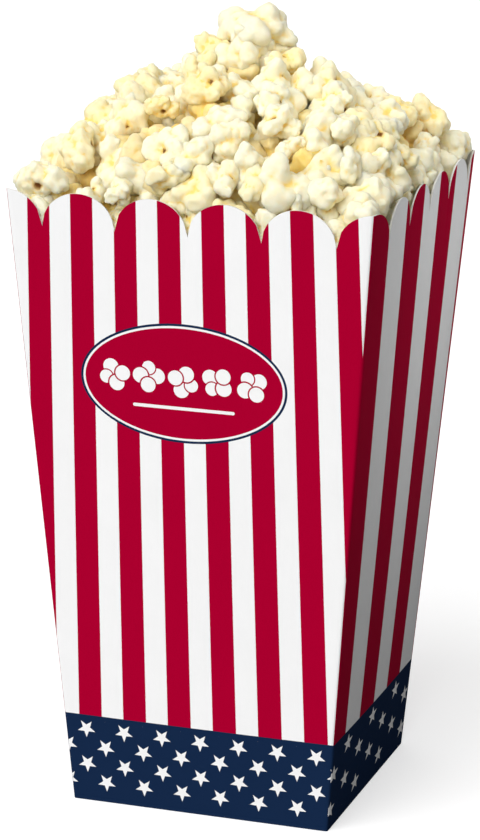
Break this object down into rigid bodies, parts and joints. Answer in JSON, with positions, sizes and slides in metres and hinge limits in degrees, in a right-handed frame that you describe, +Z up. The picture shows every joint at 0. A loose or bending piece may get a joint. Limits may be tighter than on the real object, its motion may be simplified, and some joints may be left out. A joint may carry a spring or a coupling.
{
  "type": "popcorn box filled with popcorn",
  "caption": "Tall square paperboard popcorn box, tapered towards its base, with a scalloped rim, striped panels and a starred band, heaped with popcorn.",
  "frame": {"origin": "centre of the base, on the surface that the box stands on", "axes": "+Z up through the mouth, -Y towards the front panel with the oval badge, +X towards the right-hand side panel"},
  "size_m": [0.1366, 0.1366, 0.2959],
  "materials": {
    "board": "satin",
    "popcorn": "matte"
  },
  "bodies": {
    "root": {"carton": "board", "popcorn": "popcorn"}
  },
  "joints": []
}
